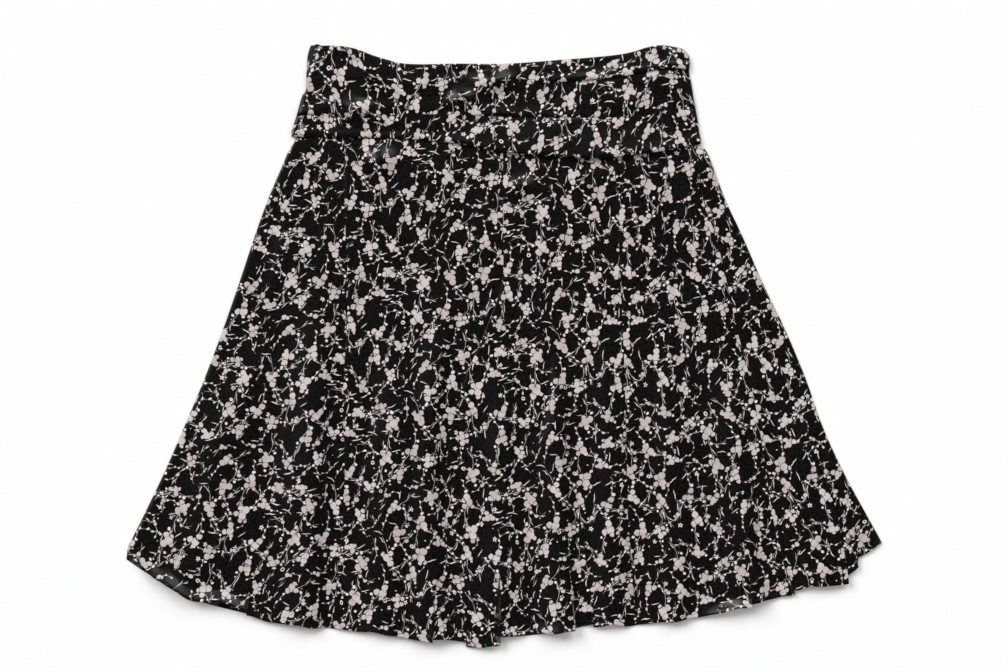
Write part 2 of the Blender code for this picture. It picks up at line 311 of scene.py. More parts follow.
# Soft swellings of the body's cloth, and of the waistband's.
PUFFS = table(
    "across down half_across half_down height",
    (-118, 93, 14, 11, 6),
    (17, 118, 13, 10, 4.8),
    (198, 96, 16, 18, 2.4),
    (-60, 104, 20, 12, 0.9),
    (90, 112, 18, 12, 1),
)
BAND_PUFFS = table(
    "across down half_across half_down height",
    (-11, 18, 16, 10, 6.4),
    (-39, 33, 12, 8, 4.6),
    (-141, 44, 12, 9, 4.8),
    (60, 52, 20, 9, 1.2),
    (120, 40, 16, 10, 1.6),
    (-85, 22, 18, 8, 1.1),
    (150, 14, 14, 9, 1.6),
)

# The flat cut of each piece of cloth: its width, its length and its area in square metres.
Cut = namedtuple("Cut", "width length area")

# grain: how far the print leans left on its way down, in degrees; start: where the cloth was cut
Gore = namedtuple("Gore", "name left right columns grain start cut")
FRONT_GORES = (
    Gore("front_gore_left", "left_edge", "seam_1", 96, 25.7, (31, 47), Cut(0.215, 0.486, 0.061)),
    Gore("front_gore_inner_left", "seam_1", "seam_2", 66, 12.6, (77, 12), Cut(0.154, 0.498, 0.062)),
    Gore("front_gore_centre", "seam_2", "seam_3", 98, 2.4, (5, 93), Cut(0.223, 0.498, 0.0705)),
    Gore("front_gore_inner_right", "seam_3", "seam_4", 78, -13.6, (52, 66), Cut(0.159, 0.465, 0.0535)),
    Gore("front_gore_right", "seam_4", "right_edge", 84, -24.4, (19, 29), Cut(0.128, 0.461, 0.0225)),
)
BACK_GORES = (
    Gore("back_gore_left", "back_left", "back_seam_1", 60, 16, (63, 21), Cut(0.252, 0.486, 0.0885)),
    Gore("back_gore_centre", "back_seam_1", "back_seam_2", 60, 0, (12, 71), Cut(0.247, 0.485, 0.088)),
    Gore("back_gore_right", "back_seam_2", "back_right", 60, -16, (88, 37), Cut(0.254, 0.461, 0.0835)),
)
FRONT_ROWS = 190
BACK_ROWS = 120
HEM_ABOUT = 530  # how far down the gores' widths are taken to place their columns,
GORE_SIDE = 2.5  # which lie closer within this distance of their sides


def blend(start, end, share):
    """The value that lies this share of the way from start to end."""
    return start + (end - start) * share


def smooth_step(low, high, value):
    """0 below low and 1 above high, with a soft rise between."""
    share = np.clip((value - low) / (high - low), 0, 1)
    return share * share * (3 - 2 * share)


def bell(away, half_width):
    """1 in the middle, falling softly to nothing."""
    return np.exp(-(away / half_width) ** 2)


def rolled(away, width):
    """0 at an edge and 1 from this far inside it, along a quarter circle."""
    return np.sqrt(1 - np.clip(1 - away / width, 0, 1) ** 2)


def read(rows, key, column, value):
    """A column of a table at values of its key, on a smooth curve through the rows."""
    keys = np.array([getattr(row, key) for row in rows], float)
    values = np.array([getattr(row, column) for row in rows], float)
    around = np.arange(len(rows))
    before, after = np.maximum(around - 1, 0), np.minimum(around + 1, len(rows) - 1)
    slopes = (values[after] - values[before]) / (keys[after] - keys[before])
    row = np.clip(np.searchsorted(keys, value) - 1, 0, len(rows) - 2)
    length = keys[row + 1] - keys[row]
    share = np.clip((value - keys[row]) / length, 0, 1)
    square, cube = share ** 2, share ** 3
    inside = (values[row] * (2 * cube - 3 * square + 1) + values[row + 1] * (3 * square - 2 * cube)
              + length * (slopes[row] * (cube - 2 * square + share) + slopes[row + 1] * (cube - square)))
    past = value - np.clip(value, keys[0], keys[-1])
    return inside + past * np.where(past < 0, slopes[0], slopes[-1])


def where_line_meets(line, edge, above, below):
    """How far down each line that runs down the body meets an edge that runs across it."""
    high = np.full_like(line(above), above)
    low = np.full_like(high, below)
    for _ in range(30):
        middle = (high + low) / 2
        short = middle < edge(line(middle))
        high = np.where(short, middle, high)
        low = np.where(short, low, middle)
    return high


def body_line(name, down):
    """A side edge or a seam of the front or the back, as places across."""
    if name == "back_left":
        hidden = 1 - smooth_step(CORNER - INSET_ENDS, CORNER, down)
        return body_line("left_edge", down) + BACK_INSET * hidden
    if name == "back_right":
        return body_line("right_edge", down) - BACK_INSET
    if name in BACK_SEAMS:
        seam = BACK_SEAMS[name]
        share = (down - seam.waist_down) / (seam.hem_down - seam.waist_down)
        return blend(seam.waist_across, seam.hem_across, share)
    across = read(STATIONS, "down", name, down)
    if name == "left_edge":
        out = smooth_step(CORNER - STEP_OUT, CORNER, down)
        across = across - CORNER_STEP * (out - smooth_step(CORNER, CORNER + STEP_BACK, down))
    return across


def band_line(column, across):
    return read(BAND_LINES, "across", column, across)


def band_across(share, down):
    """Places this share of the way from the waistband's left end to its right end."""
    return blend(read(BAND_EDGES, "down", "left", down), read(BAND_EDGES, "down", "right", down), share)


def front_hem(across):
    """How far down the front's hem is, with its pleats, its waves and where it rides up."""
    down = read(HEM, "across", "front", across)
    for place in RIDDEN_UP:
        down = down - place.rise * bell(across - place.across, place.half_width) ** 2
    for pleat in PLEATS:
        away = across - pleat.hem_across
        right = smooth_step(-0.3 * pleat.half_width, 0.3 * pleat.half_width, away)
        down = down + blend(pleat.left_longer, pleat.right_longer, right) * bell(away, PLEAT_REACH)
    return down + sum(wave.height * np.sin(across / wave.length + wave.phase) for wave in HEM_WAVES)


def back_hem(across):
    return read(HEM, "across", "back", across)


def gore_top(across):
    return band_line("bottom", across) - LAP


def world(across, down, height):
    """Places in metres, in the frame."""
    return np.stack([MIDDLE_X + across * MM, WAIST_Y - down * MM, height * MM], axis=-1)


def on_cloth(across, down, start):
    """Places on the printed cloth in metres, from where the piece was cut."""
    return np.stack([(across + start[0]) * MM, -(down + start[1]) * MM], axis=-1)


# ---------- sheets of cloth

ATLAS_SPLIT = 0.5  # the baked image holds a sheet's shown face in two halves,
ATLAS_FACE = 0.88  # up to this share of its height, and its other face above that
ATLAS_EDGE = 0.012


def atlas_places(rows, columns, shown_below):
    """Where each face of both skins of a sheet lies in its own image, corner by corner."""
    def fill(rows, left, right, low, high):
        row, column = np.mgrid[:rows + 1, :columns + 1]
        return np.stack([blend(left, right, column / columns), blend(low, high, row / rows)], axis=-1)
    half = rows // 2
    right, top = ATLAS_SPLIT - ATLAS_EDGE, ATLAS_FACE - ATLAS_EDGE
    shown = np.concatenate([squares(fill(half, ATLAS_EDGE, right, ATLAS_EDGE, top)),
                            squares(fill(rows - half, 1 - right, 1 - ATLAS_EDGE, ATLAS_EDGE, top))])
    hidden = squares(fill(rows, ATLAS_FACE, 1 - ATLAS_EDGE, ATLAS_EDGE, 1 - ATLAS_EDGE)[..., ::-1])
    over, under = (hidden, shown) if shown_below else (shown, hidden)
    return np.concatenate([over, under[:, ::-1]])


def unit(vectors):
    return vectors / np.maximum(np.linalg.norm(vectors, axis=-1, keepdims=True), 1e-12)


def widened(grid):
    """A grid with its outer rows and columns doubled."""
    return np.pad(grid, ((1, 1), (1, 1), (0, 0)), mode="edge")


def squares(grid):
    """What a grid holds at the four corners of each of its squares."""
    corners = (grid[:-1, :-1], grid[1:, :-1], grid[1:, 1:], grid[:-1, 1:])
    return np.stack(corners, axis=2).reshape(-1, 4, *grid.shape[2:])


def put(name, data):
    """A new object in the scene."""
    thing = bpy.data.objects.new(name, data)
    bpy.context.scene.collection.objects.link(thing)
    return thing


def mesh_piece(name, vertices, faces, *materials):
    mesh = bpy.data.meshes.new(name)
    mesh.from_pydata(vertices, [], faces)
    for material in materials:
        mesh.materials.append(material)
    mesh.shade_smooth()
    return put(name, mesh)


def add_map(mesh, name, corners):
    """A UV map, given corner by corner."""
    mesh.uv_layers.new(name=name).uv.foreach_set("vector", corners.astype(np.float32).ravel())


def cloth_sheet(name, places, cloth, over, under, thickness=CLOTH, shown_below=False):
    """A closed sheet with rounded edges around a grid of places.

    cloth says where each place lies on the uncut cloth, which the print follows. over and under
    are the materials of the two faces, and shown_below tells that the lower one is the right side.
    """
    rows, columns = places.shape[:2]
    count = rows * columns
    along = unit(np.gradient(places, axis=1))
    down = unit(np.gradient(places, axis=0))
    normal = unit(np.cross(down, along))
    half = np.broadcast_to(np.asarray(thickness * MM / 2, float), (rows, columns))[..., None]
    rim = widened(places)
    out = np.zeros_like(rim)
    out[:, 0] -= widened(along)[:, 0]
    out[:, -1] += widened(along)[:, -1]
    out[0] -= widened(down)[0]
    out[-1] += widened(down)[-1]
    rim += unit(out) * widened(half)
    top_ids = np.pad(np.arange(count).reshape(rows, columns), 1)
    low_ids = top_ids + count
    on_rim = np.pad(np.zeros((rows, columns), bool), 1, constant_values=True)
    top_ids[on_rim] = low_ids[on_rim] = 2 * count + np.arange(on_rim.sum())
    vertices = np.concatenate([(places + normal * half).reshape(-1, 3),
                               (places - normal * half).reshape(-1, 3), rim[on_rim]])
    faces = np.concatenate([squares(top_ids), squares(low_ids)[:, ::-1]])
    piece = mesh_piece(name, vertices.tolist(), faces.tolist(), over, under)
    corners = squares(widened(cloth))
    add_map(piece.data, "cloth", np.concatenate([corners, corners[:, ::-1]]))
    add_map(piece.data, "OFBake", atlas_places(rows + 1, columns + 1, shown_below))
    face_sides = np.repeat(np.array([0, 1], np.int32), len(faces) // 2)
    piece.data.polygons.foreach_set("material_index", face_sides)
    piece.data.update()
    return piece


def uneven_shares(count, spots):
    """count + 1 shares from 0 to 1, closer together near the given spots (place, width, more)."""
    fine = np.linspace(0, 1, 2001)
    density = np.ones_like(fine)
    for place, width, more in spots:
        density += more * bell(fine - place, width)
    total = np.concatenate([[0], np.cumsum((density[1:] + density[:-1]) / 2)])
    return np.interp(np.linspace(0, 1, count + 1), total / total[-1], fine)


def gore_grid(gore, shares, rows, hem):
    """Places across and down of a gore's grid, from under the band to the hem, and its hem."""
    def line(down):
        return blend(body_line(gore.left, down), body_line(gore.right, down), shares)
    start = where_line_meets(line, gore_top, *TOP_BETWEEN)
    end = where_line_meets(line, hem, *HEM_BETWEEN)
    down = blend(start, end, rows[:, None])
    return line(down), down, end


def run_along(*steps, axis):
    """How far along the cloth each place of a grid is, from the changes of its coordinates."""
    lengths = np.sqrt(sum(np.diff(values, axis=axis) ** 2 for values in steps))
    return np.insert(np.cumsum(lengths, axis=axis), 0, 0, axis=axis)


def gore_on_cloth(gore, across, down, height):
    """Where a gore's grid lies on the printed cloth: true lengths across, turned to the grain."""
    run = run_along(across, height, axis=1)
    middle = gore.columns // 2
    run = run - run[:, middle:middle + 1] + across[:, middle:middle + 1]
    lean = math.radians(gore.grain)
    turned = run * math.cos(lean) + down * math.sin(lean)
    return on_cloth(turned, -run * math.sin(lean) + down * math.cos(lean), gore.start)


# ---------- the front


def pleated(across, down):
    """Places across once the hem's pleats are folded, and how far they lift the cloth."""
    moved = np.array(across)
    lift = np.zeros_like(across)
    for pleat in PLEATS:
        end = read(HEM, "across", "front", pleat.hem_across)
        share = np.clip((down - pleat.top_down) / (end - pleat.top_down), 0, 1.1)
        strength = smooth_step(0, 1, share)
        middle = blend(pleat.top_across, pleat.hem_across, share)
        turn = (across - middle) / pleat.half_width
        inside = np.clip(turn, -1, 1)
        wave = np.sin(math.pi * inside) * (1 + np.cos(math.pi * inside)) / 2
        moved -= pleat.fullness * strength * wave * pleat.half_width / math.pi
        climb = smooth_step(-2.6, -0.6, turn) * (1 - smooth_step(-0.4, 0.4, turn))
        lift += pleat.lift * strength * climb
    return moved, lift


def fold_height(folds, across, down):
    """Heights of long folds over the flat cloth."""
    total = np.zeros_like(across)
    for fold in folds:
        share = np.clip((down - fold.top_down) / (fold.low_down - fold.top_down), 0, 1)
        bend = 2 * fold.middle_across - (fold.top_across + fold.low_across) / 2
        middle = (fold.top_across * (1 - share) ** 2 + 2 * bend * share * (1 - share)
                  + fold.low_across * share ** 2)
        strength = smooth_step(0, fold.fade_in, share)
        if fold.fade_out > 0:
            strength = strength * (1 - smooth_step(1 - fold.fade_out, 1, share))
        away = across - middle
        total += fold.height * bell(away, np.where(away < 0, fold.left, fold.right)) * strength
    return total


def waves(across, down):
    """Slow unevenness of cloth that was never pressed."""
    return (0.28 * np.sin(across / 17 + down / 41) * np.sin(down / 29 - across / 53)
            + 0.18 * np.sin(across / 9.1 - down / 23 + 1.3) * np.sin(down / 13.7 + across / 31))


def curl_height(across, above_hem):
    return sum(curl.height * bell(across - curl.across, curl.half_width)
               * (1 - smooth_step(-1, curl.length, above_hem)) for curl in CURLS)


def puff_height(puffs, across, down):
    return sum(puff.height * bell(across - puff.across, puff.half_across)
               * bell(down - puff.down, puff.half_down) for puff in puffs)


def front_height(across, down, above_hem):
    """Height of the middle of the front's cloth. Creases are deeper where the cloth is raised."""
    free = smooth_step(FOLDS_START, FOLDS_FULL, down)
    relief = fold_height(RIDGES, across, down) * free
    relief += HEM_FULLNESS * smooth_step(FULLNESS_STARTS, FULLNESS_ENDS, down)
    relief += curl_height(across, above_hem) + puff_height(PUFFS, across, down)
    deeper = np.clip(0.4 + 0.3 * relief, 0.4, 1.3)
    relief += fold_height(CREASES, across, down) * deeper + waves(across, down) * blend(0.4, 1, free)
    return FRONT_HEIGHT + np.maximum(relief, -DEEPEST_CREASE)


def make_front_gore(gore, printed, wrong_side):
    """One gore of the front, with closer columns at its sides and pleats and closer rows at its hem."""
    hem_left, hem_right = body_line(gore.left, HEM_ABOUT), body_line(gore.right, HEM_ABOUT)
    hem_width = hem_right - hem_left
    spots = [(side, GORE_SIDE / hem_width, 3) for side in (0, 1)]
    for pleat in PLEATS:
        place = (pleat.hem_across - hem_left) / hem_width
        if -0.05 < place < 1.05:
            spots.append((place, pleat.half_width / hem_width, 2.6))
    rows = uneven_shares(FRONT_ROWS, [(1, 0.03, 1.6)])
    flat, down, end = gore_grid(gore, uneven_shares(gore.columns, spots), rows, front_hem)
    across, lift = pleated(flat, down)
    height = front_height(flat, down, end - down) + lift
    for edge in (gore.left, gore.right):
        away = np.abs(flat - body_line(edge, down))
        if edge.endswith("_edge"):
            height = blend(SIDE_HEIGHT, height, rolled(away, SIDE_ROLL))
        else:
            height -= SEAM_GROOVE * bell(away, SEAM_GROOVE_WIDTH)
    under_band = 1 - smooth_step(0, LAP_RISE, down - band_line("bottom", flat))
    height = blend(height, LAP_HEIGHT, under_band)
    thickness = CLOTH + HEM_THICKER * smooth_step(0, HEM_STEP, HEM_TURNED - (end - down))
    places = world(across, down, height)
    cloth = gore_on_cloth(gore, across, down, height)
    return cloth_sheet(gore.name + "_cloth", places, cloth, printed, wrong_side, thickness), places


# ---------- the back


def make_back_gore(gore, printed, wrong_side):
    """One gore of the back, lying on the surface; its printed face is below."""
    shares = uneven_shares(gore.columns, [(0, 0.02, 2), (1, 0.02, 2)])
    across, down, _ = gore_grid(gore, shares, np.linspace(0, 1, BACK_ROWS + 1), back_hem)
    height = BACK_HEIGHT + BACK_FOLDS * np.clip(fold_height(RIDGES, -across, down), 0, 4)
    height += BACK_FOLDS * np.abs(waves(across, down)) * smooth_step(FOLDS_START, FOLDS_FULL, down)
    for edge in (gore.left, gore.right):
        height += BACK_SEAM_RISE * bell(across - body_line(edge, down), SEAM_GROOVE_WIDTH)
    places = world(across, down, height)
    cloth = gore_on_cloth(gore, across, down, height)
    piece = cloth_sheet(gore.name + "_cloth", places, cloth, wrong_side, printed, shown_below=True)
    return piece, places


# ---------- the waistband

BAND_COLUMNS = 230
BAND_STEPS = 5  # rows between two control points of the band's section
BAND_CLOTH = 0.5
BAND_START = (260, 40)  # where the bands were cut from the cloth
BACK_BAND_START = (700, 300)
BACK_BAND_CLOTH = 0.7
BACK_BAND_RISE = 0.05
BACK_BAND_BELOW = 1.2  # the back band starts this far below the front one's top edge,
BACK_BAND_ABOVE = 0.2  # and stops this far above the gores
TUCK_UNDER = 7.5  # how far a full tuck goes back under its own fold
BARED_ZIP = 7.2  # the front band ends this far in at its top left, where the zip's end shows
BARED_EDGE = 1.3  # and this far in along its right side, where the back layer shows

# The front band starts inside its top edge and rolls over it.
TOP_ROLL = table(
    "below_top height",
    (7, 1.3),
    (2, 1.25),
    (0.3, 1.7),
    (0.25, 2.5),
    (1.8, 3.2),
)
BETWEEN_TUCKS = 3.4  # middle height of the band's cloth between its tucks
FADED = 3.5  # and where a tuck has faded away

# Each tuck swells a little along the band, and its inner fold lies on a floor.
TUCKS = table(
    "swell floor wave phase",
    (1, 2.9, 23, 0),
    (-0.8, 2.9, 30, 1.7),
    (0.7, 2.7, 37, 3.4),
)
TUCK_NAMES = ("tuck_1", "tuck_2", "bottom")


def bared_width(down):
    """How far in from the left fold the front band starts."""
    return BARED_ZIP * (1 - smooth_step(-3, 7, down))


def band_section(middle):
    """Control points of the band's section at each place across: distances down, and heights.

    It starts inside the top edge, rolls over it and comes down in three tucks. Each tuck's fold
    lies over the start of the next, and the last lies over the gores.
    """
    top, bottom = band_line("top", middle), band_line("bottom", middle)
    depth = bottom - top
    upper_folds = [top + depth * band_line(name, middle) for name in TUCK_NAMES[:2]]
    folds = (top, *upper_folds, bottom)
    fullness = [read(FULLNESS, "across", name, middle) for name in TUCK_NAMES]
    lifted = (0.9 * fullness[0], 0, read(FULLNESS, "across", "lifted", middle))
    swell = 0.6 * np.sin(middle / 21) + 0.4 * np.sin(middle / 9.7 + 2)
    points = [(top + row.below_top, row.height) for row in TOP_ROLL]
    before = 0
    for number, tuck in enumerate(TUCKS):
        begin, fold = folds[number:number + 2]
        full, lift = fullness[number], lifted[number]
        length = fold - begin
        puff = swell * tuck.swell
        folded = smooth_step(0.05, 0.5, full)
        crest = 4 + 0.9 * full + lift + 0.5 * np.sin(middle / tuck.wave + tuck.phase)
        crest = blend(FADED, np.maximum(crest, FADED), folded)
        floor = blend(BETWEEN_TUCKS, tuck.floor, folded)
        under = TUCK_UNDER * full * folded
        if number > 0:
            points.append((begin + 0.9 * before, blend(BETWEEN_TUCKS, 3, before)))
        points += [
            (begin + 0.30 * length, BETWEEN_TUCKS + 0.8 * puff + 0.4 * np.maximum(lift, 0)),
            (begin + 0.62 * length, 3.9 + 0.6 * puff + 0.8 * lift),
            (fold - 3.4, crest + 0.1 * folded),
            (fold - 0.9, crest - 0.35 * folded),
            (fold - 0.15, crest - 1 * folded),
            (fold - 0.15 * under, blend(crest, floor + 0.25 * folded, 0.9)),
            (fold - under, floor - 0.05 * folded),
        ]
        if number < 2:
            points += [
                (fold - under - 0.9 * folded, floor - 0.4 * folded),
                (fold - under + 0.6 * folded, floor - 0.75 * folded),
            ]
        before = folded
    downs = np.stack([np.broadcast_to(down, middle.shape) for down, _ in points])
    heights = np.stack([np.broadcast_to(height, middle.shape) for _, height in points])
    return downs, heights


def through_points(values):
    """A smooth curve through the rows of values, with BAND_STEPS steps between two rows."""
    padded = np.concatenate([values[:1], values, values[-1:]])
    found = []
    for row in range(len(values) - 1):
        before, first, second, after = padded[row:row + 4]
        for step in range(BAND_STEPS):
            t = step / BAND_STEPS
            found.append(0.5 * (2 * first + (second - before) * t
                                + (2 * before - 5 * first + 4 * second - after) * t ** 2
                                + (3 * first - before - 3 * second + after) * t ** 3))
    return np.stack(found + [values[-1]])


def make_front_band(printed, wrong_side):
    """The front waistband with its three soft tucks."""
    shares = uneven_shares(BAND_COLUMNS, [(0, 0.02, 3), (1, 0.02, 3)])
    down, height = map(through_points, band_section(blend(*BAND_MIDDLE_ENDS, shares)))
    left = band_across(0, down) + bared_width(down)
    right = band_across(1, down) - BARED_EDGE * smooth_step(0, 10, down)
    across = blend(left, right, shares)
    height += puff_height(BAND_PUFFS, across, down) * smooth_step(2.6, 3.4, height)
    away = np.minimum(across - left, right - across)
    height = height * blend(0.42, 1, rolled(away, SIDE_ROLL))
    height += 0.12 * np.sin(across / 5.3 + down / 3.1) * np.sin(across / 13)
    cloth = on_cloth(across, run_along(down, height, axis=0), BAND_START)
    places = world(across, down, height)
    return cloth_sheet("waistband_front_cloth", places, cloth, printed, wrong_side, BAND_CLOTH)


def make_back_band(printed, wrong_side):
    """The back waistband, flat on the surface."""
    shares = np.linspace(0, 1, 101)

    def line(down):
        return band_across(shares, down)
    start = where_line_meets(line, lambda across: band_line("top", across), -30, 30) + BACK_BAND_BELOW
    end = where_line_meets(line, gore_top, *TOP_BETWEEN) - BACK_BAND_ABOVE
    down = blend(start, end, np.linspace(0, 1, 41)[:, None])
    across = band_across(blend(0.004, 0.996, shares), down)
    places = world(across, down, np.full_like(across, BACK_HEIGHT + BACK_BAND_RISE))
    cloth = on_cloth(across, down, BACK_BAND_START)
    return cloth_sheet("waistband_back_cloth", places, cloth, wrong_side, printed, BACK_BAND_CLOTH, True)


# ---------- zip and stitches

BAND_CORNER = 69  # how far down the side edge passes from the band to the body
ZIP_BOTTOM = 190
ZIP_TAPE_IN = 4.6  # the tape lies this far inside the side fold
ZIP_END_IN = 1.9  # and this far at its end, which shows
ZIP_END_BELOW = 0.4  # the end stops this far below the corner of the band
ZIP_END_ROUND = 4.5  # the end is rounded off over this length
ZIP_TAPE_WIDTH = 10
ZIP_HEIGHT = 1.02
ZIP_END_HEIGHT = 2.3
TEETH_BEGIN = 5.2  # the first tooth is this far below the zip's top
TEETH_ENDS = (3.4, 5.2)  # each tooth reaches from here to there across the tape
TEETH_LIFT = 0.4
TOOTH_PITCH = 5.4
TOOTH_RADIUS = 0.65
TAPE_THICKNESS = 0.4
EDGE_DEPTH = 3  # the back band's turned end reaches this far down,
EDGE_WIDTH = 11  # and this much cloth goes into it
EDGE_ROLL = 4
EDGE_START = (330, 80)
STITCH_LENGTH = 2.3
STITCH_PITCH = 3.1
STITCH_BEGIN = 1
STITCH_ABOVE_HEM = 3.4
STITCH_RADIUS = 0.16
STITCH_LIFT = CLOTH / 2 + HEM_THICKER / 2 + 0.02

# A rod with tapered ends: places along it, as shares of its length, and how thick it is there.
ROD_RINGS = ((-0.5, 0.35), (-0.36, 0.9), (0, 1), (0.36, 0.9), (0.5, 0.35))


def zip_edge(down):
    """The left side edge, along the band and then along the body."""
    on_band = band_across(0, np.maximum(down, BAND_EDGES[0].down))
    return np.where(down < BAND_CORNER, on_band, body_line("left_edge", down))


def zip_places(down, aside):
    inside = smooth_step(-4, 8, down)
    across = zip_edge(down) + blend(ZIP_END_IN, ZIP_TAPE_IN, inside) + aside
    end_height = blend(ZIP_END_HEIGHT, ZIP_HEIGHT, smooth_step(4.5, 8, aside))
    return world(across, down, blend(end_height, ZIP_HEIGHT, inside))


def make_zip_tape(tape):
    """The zip's tape, between front and back along the left side."""
    top = ZIP_TOP + ZIP_END_BELOW
    downs = blend(top, ZIP_BOTTOM, np.linspace(0, 1, 110) ** 1.4)
    down, aside = np.meshgrid(downs, np.linspace(0, ZIP_TAPE_WIDTH, 12), indexing="ij")
    short = np.clip(1 - (down - top) / ZIP_END_ROUND, 0, 0.98)
    middle = 0.4 * ZIP_TAPE_WIDTH
    places = zip_places(down, middle + (aside - middle) * np.sqrt(1 - short ** 2))
    return cloth_sheet("side_zip_tape", places, on_cloth(aside, down, (0, 0)), tape, tape, TAPE_THICKNESS)


def make_turned_edge(printed, wrong_side):
    """The back band's end, turned round the left fold under the zip's bared end."""
    downs = np.linspace(ZIP_TOP + 1.5, EDGE_DEPTH, 24)
    down, share = np.meshgrid(downs, np.linspace(0, 1, 14), indexing="ij")
    aside = share * np.maximum(bared_width(down) - 0.6, 1.5)
    places = world(zip_edge(down) + aside, down, blend(0.75, 1.55, rolled(aside, EDGE_ROLL)))
    cloth = on_cloth(share * EDGE_WIDTH, down, EDGE_START)
    return cloth_sheet("waistband_back_turned_edge", places, cloth, printed, wrong_side, TAPE_THICKNESS)


def make_rods(name, starts, ends, radius, material, sides=6):
    """One mesh of small rods with tapered ends: stitches, or a zip's teeth."""
    along = unit(ends - starts)
    aside = unit(np.cross(along, (0, 0, 1)))
    upward = np.cross(aside, along)
    points = []
    for place, size in ROD_RINGS:
        middle = blend(starts, ends, 0.5 + place)
        for angle in np.arange(sides) * 2 * math.pi / sides:
            outward = aside * math.cos(angle) + upward * math.sin(angle)
            points.append(middle + outward * radius * MM * size)
    vertices = np.stack(points, axis=1).reshape(-1, 3)
    pattern = []
    for ring in range(0, len(points) - sides, sides):
        for side in range(sides):
            after = (side + 1) % sides
            pattern.append([ring + side, ring + after, ring + sides + after, ring + sides + side])
    firsts = range(0, len(vertices), len(points))
    faces = [[first + corner for corner in face] for first in firsts for face in pattern]
    for first in firsts:
        faces.append(list(range(first, first + sides))[::-1])
        faces.append(list(range(first + len(points) - sides, first + len(points))))
    return mesh_piece(name, vertices, faces, material)


def make_zip_teeth(material):
    downs = np.arange(ZIP_TOP + TEETH_BEGIN, ZIP_BOTTOM - 4, TOOTH_PITCH)
    starts, ends = [zip_places(downs, aside) + (0, 0, TEETH_LIFT * MM) for aside in TEETH_ENDS]
    return make_rods("side_zip_teeth", starts, ends, TOOTH_RADIUS, material, 10)


def at_lengths(lengths, run, line):
    """The places that lie these lengths along a line."""
    return np.stack([np.interp(lengths, run, values) for values in line.T], axis=-1)


def stitch_ends(places):
    """Starts and ends of the stitches above the hem of a sheet, measured on the cloth."""
    from_hem = places[::-1][:30]
    above = run_along(*np.moveaxis(from_hem, -1, 0), axis=0)
    line = np.array([at_lengths(STITCH_ABOVE_HEM * MM, above[:, column], from_hem[:, column])
                     for column in range(places.shape[1])])
    run = run_along(*line.T, axis=0)
    starts = np.arange(STITCH_BEGIN * MM, run[-1] - STITCH_LENGTH * MM, STITCH_PITCH * MM)
    return [at_lengths(lengths, run, line) + (0, 0, STITCH_LIFT * MM)
            for lengths in (starts, starts + STITCH_LENGTH * MM)]


def make_stitches(name, sheets, material):
    starts, ends = [np.concatenate(found) for found in zip(*map(stitch_ends, sheets))]
    return make_rods(name, starts, ends, STITCH_RADIUS, material)


# ---------- formulas in node trees


class Formula:
    """A number or a place inside a node tree, so that a pattern can be written as arithmetic."""

    def __init__(self, socket):
        self.socket = socket

    def __add__(self, other):
        return calc("ADD", self, other)

    def __sub__(self, other):
        return calc("SUBTRACT", self, other)

    def __rsub__(self, other):
        return calc("SUBTRACT", other, self)

    def __mul__(self, other):
        return calc("MULTIPLY", self, other)

    def __abs__(self):
        return calc("ABSOLUTE", self)


def feed(value, socket):
    """Gives a socket a formula or a plain value."""
    if isinstance(value, Formula):
        socket.id_data.links.new(value.socket, socket)
    else:
        socket.default_value = value


def made(kind, inputs, gives=0, tree=None, **settings):
    """A result of a new node, which joins the tree that its inputs come from."""
    tree = tree or next(v.socket.id_data for v in inputs.values() if isinstance(v, Formula))
    node = tree.nodes.new("ShaderNode" + kind)
    for name, value in settings.items():
        setattr(node, name, value)
    for label, value in inputs.items():
        feed(value, node.inputs[label])
    return Formula(node.outputs[gives])


def beside(formula, label):
    """Another result of the same node."""
    return Formula(formula.socket.node.outputs[label])


def is_place(value):
    return isinstance(value, tuple) or isinstance(value, Formula) and value.socket.type != "VALUE"


def calc(operation, *values):
    """One step of arithmetic, on places if any of the values is one."""
    kind = "VectorMath" if any(map(is_place, values)) else "Math"
    return made(kind, dict(enumerate(values)), operation=operation)


def times(place, factor):
    return place * (factor, factor, 0)


def lowest(*values):
    """The smallest of several formulas, which joins shapes given by their distances."""
    return reduce(lambda one, other: calc("MINIMUM", one, other), values)


def highest(*values):
    """The largest of several formulas, which keeps what shapes have in common."""
    return reduce(lambda one, other: calc("MAXIMUM", one, other), values)


def line_of(value, slope, start):
    """start + slope * value, where value is a formula."""
    return calc("MULTIPLY_ADD", value, slope, start)


def fraction(value):
    return calc("FRACT", value)


def ramp(value, start, end, low=0, high=1):
    """low up to start, then a smooth change to high at end."""
    inputs = {"Value": value, "From Min": start, "From Max": end, "To Min": low, "To Max": high}
    return made("MapRange", inputs, "Result", interpolation_type="SMOOTHSTEP")


def part(place, axis):
    """One coordinate of a place."""
    return made("SeparateXYZ", {"Vector": place}, axis)


def length_of(place):
    return beside(calc("LENGTH", place), "Value")


def turned_by(place, angle):
    return made("VectorRotate", {"Vector": place, "Angle": angle}, rotation_type="Z_AXIS")


def luck(cell, seed):
    """Random numbers that belong to a cell: three in a vector, and one more."""
    die = made("TexWhiteNoise", {"Vector": cell, "W": seed}, "Value", noise_dimensions="4D")
    return beside(die, "Color"), die


def noise(place, scale, detail):
    """Smooth noise over a place; beside it are three more values, as Color."""
    inputs = {"Vector": place, "Scale": scale, "Detail": detail}
    return made("TexNoise", inputs, noise_dimensions="2D")


def mixed(share, first, second):
    """A colour between two colours."""
    return made("Mix", {0: share, 6: first, 7: second}, 2, data_type="RGBA")


